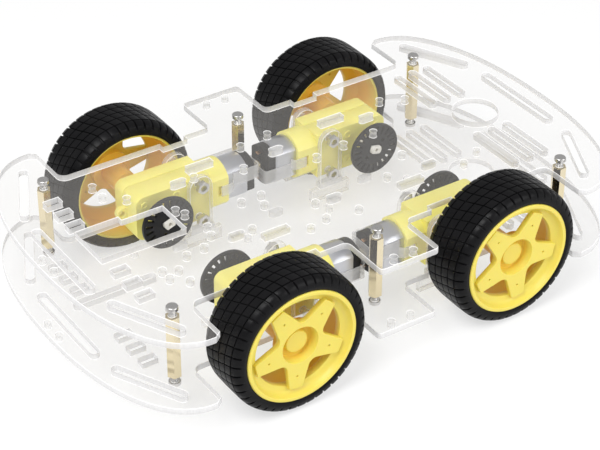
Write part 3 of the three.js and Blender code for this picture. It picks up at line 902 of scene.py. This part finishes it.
def star_outline():
    """Five arms with round valleys; one arm points down."""
    tip_r, tip_half, valley_r, fillet = 21.6 * MM, 3.3 * MM, 11.3 * MM, 3.4 * MM
    arms = 5
    loop = []
    centre_r = valley_r + fillet
    step = TAU / arms
    corner = Vector((tip_r, tip_half))
    centre = Vector((centre_r * math.cos(step / 2), centre_r * math.sin(step / 2)))
    to_corner = corner - centre
    swing = math.acos(fillet / to_corner.length)
    base = math.atan2(to_corner.y, to_corner.x)
    angles = [base + s * swing for s in (-1, 1)]
    choices = [centre + fillet * Vector((math.cos(a), math.sin(a))) for a in angles]
    touch = min(choices, key=lambda p: abs(p.y))
    start = math.atan2((touch - centre).y, (touch - centre).x)
    hubward = math.atan2(-centre.y, -centre.x)
    sweep = (hubward - start + math.pi) % TAU - math.pi
    valley = arc(centre.x, centre.y, fillet, start, start + 2 * sweep, 14)
    tip = arc(tip_r - 0.8 * MM, tip_half - 0.8 * MM, 0.8 * MM, 0, math.pi / 2, 4)
    tip = [(x, -y) for x, y in reversed(tip)] + tip
    for i in range(arms):
        a = i * step - math.pi / 2
        c, s = math.cos(a), math.sin(a)
        loop += [(u * c - v * s, u * s + v * c) for u, v in tip + valley]
    return loop


def rim_mesh():
    """Stepped barrel, five-armed star with a pit in each arm, and a dished hub."""
    y0, y1 = RIM[0].y, TYRE[1].y
    bm = bmesh.new()
    back, face = y0 / MM, y1 / MM
    barrel = [
        (25.3, back), (26.3, back), (26.3, face - 0.7), (26.1, face - 0.25),
        (25.75, face), (24.75, face), (24.4, face - 0.15), (24.25, face - 0.6),
        (23.7, face - 2.2), (22.9, face - 3.1), (22.2, face - 3.45), (20.9, face - 3.6),
        (20.5, face - 3.75), (20.35, face - 4.2), (20.35, face - 6.4), (20.6, face - 6.9),
        (24.2, face - 10.5),
    ]
    lathe_y(bm, [(r * MM, y * MM) for r, y in barrel], 128)
    pits = []
    for i in range(5):
        a = TAU * i / 5 - math.pi / 2
        pits.append(circle(15.4 * MM * math.cos(a), 15.4 * MM * math.sin(a), 0.42 * MM, 12))
    dish = [circle(0, 0, DISH_R, 64)]
    merge(bm, flat_solid(star_outline(), dish + pits, STAR_TOP - 2.6 * MM, STAR_TOP, 0.28 * MM, "XZ"))
    top = STAR_TOP / MM
    hub = [
        (0, 61.2), (5.6, 61.2), (5.7, top - 6.6), (9.4, top - 6.4), (9.4, top - 0.8),
        (8.75, top - 0.25), (8.55, top - 0.6), (8.2, top - 4.6), (7.8, top - 5.2),
        (5.9, top - 5.2), (5.45, top - 4.9), (5.25, top - 3.3), (5.0, top - 2.9),
        (4.6, top - 2.75), (0, top - 2.7),
    ]
    lathe_y(bm, [(r * MM, y * MM) for r, y in hub], 72, closed=False)
    return finish_mesh("wheel_rim", bm, 28, "Y")


LUGS = 44
GROOVE = 0.7 * MM
SLANT = math.radians(5.5)


def tyre_mesh():
    """Blocks cut by slanted cross grooves and ring grooves, on a rounded carcass."""
    y0, y1 = TYRE[0].y, TYRE[1].y
    mid, half = (y0 + y1) / 2, (y1 - y0) / 2
    shoulder_w, shoulder_h = 5.2 * MM, 3.6 * MM

    def crown(y):
        """Radius of the tread's surface."""
        d = abs(y - mid)
        flat = half - shoulder_w
        if d <= flat:
            return WHEEL_R - 0.12 * MM * (d / flat) ** 2
        t = min(1.0, (d - flat) / shoulder_w)
        return WHEEL_R - 0.12 * MM - shoulder_h * (1 - math.sqrt(max(0.0, 1 - t * t)))

    def shoulder(y):
        """0 on the flat of the tread, 1 at its edge."""
        return max(0.0, abs(y - mid) - half + shoulder_w) / shoulder_w

    ring_grooves = [y0 + d * MM for d in (4.4, 8.8, 13.1, 17.4, 21.6)]
    width, wall = 0.17 * MM, 0.13 * MM
    rows = [(y0 + 0.02 * MM, 0.0), (y0 + 0.25 * MM, 0.6), (y0 + 0.9 * MM, 1.0)]
    last = y0 + 0.9 * MM
    for g in ring_grooves:
        rows += [((last + g - width - wall) / 2, 1.0)]
        rows += [(g - width - wall, 1.0), (g - width, 0.15), (g + width, 0.15), (g + width + wall, 1.0)]
        last = g + width + wall
    rim_side = y1 - 1.3 * MM
    rows += [((last + rim_side) / 2, 1.0), (rim_side, 1.0)]
    rows += [(y1 - 0.5 * MM, 0.7), (y1 - 0.22 * MM, 0.0)]
    steps = [(0.0, 0.0), (0.06, 0.0), (0.09, 0.93), (0.14, 1.0), (0.55, 1.0), (0.92, 1.0), (0.97, 0.93)]
    bm = bmesh.new()
    grid = []
    for y, ring_level in rows:
        depth = GROOVE * (1 + 1.1 * shoulder(y))
        spread = 1 + 1.2 * shoulder(y)
        lean = SLANT * math.sin((y - mid) / half * math.pi / 2)
        edge = (y <= y0 + 0.3 * MM) or (y >= y1 - 0.6 * MM)
        line = []
        for lug in range(LUGS):
            for u, level in steps:
                a = TAU * (lug + (u * spread if u < 0.2 else u)) / LUGS + lean
                h = min(level, ring_level) if not edge else min(level * 0.8 + 0.2, ring_level)
                r = crown(y) - depth * (1 - h)
                line.append(bm.verts.new((r * math.cos(a), y, r * math.sin(a))))
        grid.append(line)
    count = LUGS * len(steps)
    inner_wall = [
        (27.6 * MM, y1 - 0.2 * MM), (26.9 * MM, y1 - 0.45 * MM), (26.4 * MM, y1 - 0.6 * MM),
        (26.4 * MM, y0 + 0.3 * MM), (27.4 * MM, y0),
    ]
    for r, y in inner_wall:
        lean = SLANT * (1 if y > mid else -1)
        line = []
        for lug in range(LUGS):
            for u, _ in steps:
                a = TAU * (lug + u) / LUGS + lean
                line.append(bm.verts.new((r * math.cos(a), y, r * math.sin(a))))
        grid.append(line)
    for a, b in zip(grid, grid[1:] + grid[:1]):
        for i in range(count):
            j = (i + 1) % count
            bm.faces.new((a[i], a[j], b[j], b[i]))
    return finish_mesh("tyre", bm, 30)


def build_corners():
    """Four motors with their plates, bolts and wheels."""
    case, can, cap, stub = case_mesh(), can_mesh(), end_cap_mesh(), stub_mesh()
    terminals, strap, bolt = terminals_mesh(), strap_mesh(), bolt_mesh()
    plates = {"inner": mount_plate_mesh(PLATE_IN), "outer": mount_plate_mesh(PLATE_OUT)}
    shaft, disc, rim, tyre = shaft_mesh(), disc_mesh(), rim_mesh(), tyre_mesh()
    for tag, (sx, sy, roll) in CORNERS.items():
        at = motor_place(sx, sy)
        place(f"gearbox_{tag}_case", case, CASE, "chassis", at, [f"gearbox_{tag}"])
        place(f"motor_can_{tag}_shell", can, ZINC, "chassis", at, [f"motor_can_{tag}"])
        place(f"motor_cap_{tag}", cap, CAP_BLACK, "chassis", at)
        place(f"motor_bearing_{tag}", stub, BRASS, "chassis", at)
        place(f"motor_terminals_{tag}", terminals, COPPER, "chassis", at)
        place(f"motor_strap_{tag}", strap, STRAP, "chassis", at)
        for side, mesh in plates.items():
            name = f"mount_plate_{side}_{tag}"
            lo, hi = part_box(name)
            shift = Matrix.Translation(((lo.x + hi.x) / 2, (lo.y + hi.y) / 2, 0))
            local = Matrix.Translation((-HOLE_X, -mesh_mid_y(mesh), AXLE_Z))
            place(f"{name}_sheet", mesh, ACRYLIC, "chassis", shift @ local, [name])
        for level, dz in (("top", BOLT_DZ), ("low", -BOLT_DZ)):
            lift = Matrix.Translation((HOLE_X, 0, dz * (1 if sx * sy > 0 else -1)))
            name = f"motor_bolt_{level}_{tag}"
            place(f"{name}_m3", bolt, NICKEL, "chassis", at @ lift, [name])
        body = f"wheel_{tag}"
        axle = Matrix.Translation((sx * WHEEL_X, 0, AXLE_Z))
        turn = Matrix.Rotation(math.radians(roll), 4, "Y")
        spin = axle @ turn @ Matrix.Rotation(0 if sy > 0 else math.pi, 4, "Z")
        for name, suffix, mesh, material, slot in (
            (f"output_shaft_{tag}", "flat", shaft, IVORY, "shaft_plastic"),
            (f"encoder_disc_{tag}", "slotted", disc, DISC_BLACK, "disc_plastic"),
            (f"wheel_rim_{tag}", "star", rim, YELLOW, "wheel_plastic"),
            (f"tyre_{tag}", "tread", tyre, RUBBER, "tyre_rubber"),
        ):
            place(f"{name}_{suffix}", mesh, material, body, spin, [name])


def mesh_mid_y(mesh):
    """Middle of the mesh along Y."""
    ys = [v.co.y for v in mesh.vertices]
    return (min(ys) + max(ys)) / 2


build_decks()
build_posts()
build_corners()


# ---- floor, light, camera --------------------------------------------------
def area_light(name, place_at, aim, size, power):
    """A round soft lamp."""
    data = bpy.data.lights.new(name, "AREA")
    data.shape = "DISK"
    data.size = size
    data.energy = power
    light = bpy.data.objects.new(name, data)
    light.location = place_at
    light.rotation_euler = (Vector(aim) - Vector(place_at)).to_track_quat("-Z", "Y").to_euler()
    bpy.context.scene.collection.objects.link(light)


def build_stage():
    """Pale floor, even studio light and two soft lamps."""
    bm = bmesh.new()
    size = 6.0
    corners = [bm.verts.new((x * size, y * size, 0)) for x, y in ((-1, -1), (1, -1), (1, 1), (-1, 1))]
    bm.faces.new(corners)
    mesh = finish_mesh("floor", bm)
    floor = bpy.data.objects.new("floor", mesh)
    pale = new_material("pale_floor", (0.36, 0.36, 0.36), 0.9, Specular_IOR_Level=0.1)
    glow = pale.node_tree.nodes["Principled BSDF"].inputs
    glow["Emission Color"].default_value = (1, 1, 1, 1)
    glow["Emission Strength"].default_value = 0.62
    mesh.materials.append(pale)
    bpy.context.scene.collection.objects.link(floor)
    world = bpy.data.worlds.new("studio")
    world.use_nodes = True
    world.node_tree.nodes["Background"].inputs["Color"].default_value = (1, 1, 1, 1)
    world.node_tree.nodes["Background"].inputs["Strength"].default_value = 0.5
    bpy.context.scene.world = world
    area_light("key", (-0.55, -0.25, 0.95), (0, 0, 0.03), 0.6, 9)
    area_light("fill", (0.5, -0.9, 0.6), (0, 0, 0.03), 0.9, 6)


def build_camera():
    """The photograph's view: a long lens, from the car's right and a little above."""
    azimuth, elevation, roll = math.radians(-33.96), math.radians(34.47), math.radians(0.34)
    target = Vector((-6.11, -6.04, 29.8)) * MM
    distance = 862.0 * MM
    back = Vector(
        (
            math.sin(azimuth) * math.cos(elevation),
            -math.cos(azimuth) * math.cos(elevation),
            math.sin(elevation),
        )
    )
    right = Vector((0, 0, 1)).cross(back).normalized()
    up = back.cross(right)
    axes = Matrix((right, up, back)).transposed().to_4x4()
    data = bpy.data.cameras.new("camera")
    data.sensor_width = 36
    data.lens = 117.3
    data.clip_end = 30
    camera = bpy.data.objects.new("camera", data)
    camera.matrix_world = (
        Matrix.Translation(target + back * distance) @ axes @ Matrix.Rotation(roll, 4, "Z")
    )
    bpy.context.scene.collection.objects.link(camera)
    bpy.context.scene.camera = camera


build_stage()
build_camera()
scene = bpy.context.scene
scene.view_settings.view_transform = "Standard"
scene.cycles.max_bounces = 24
scene.cycles.transparent_max_bounces = 40
scene.cycles.glossy_bounces = 6
scene.cycles.diffuse_bounces = 8
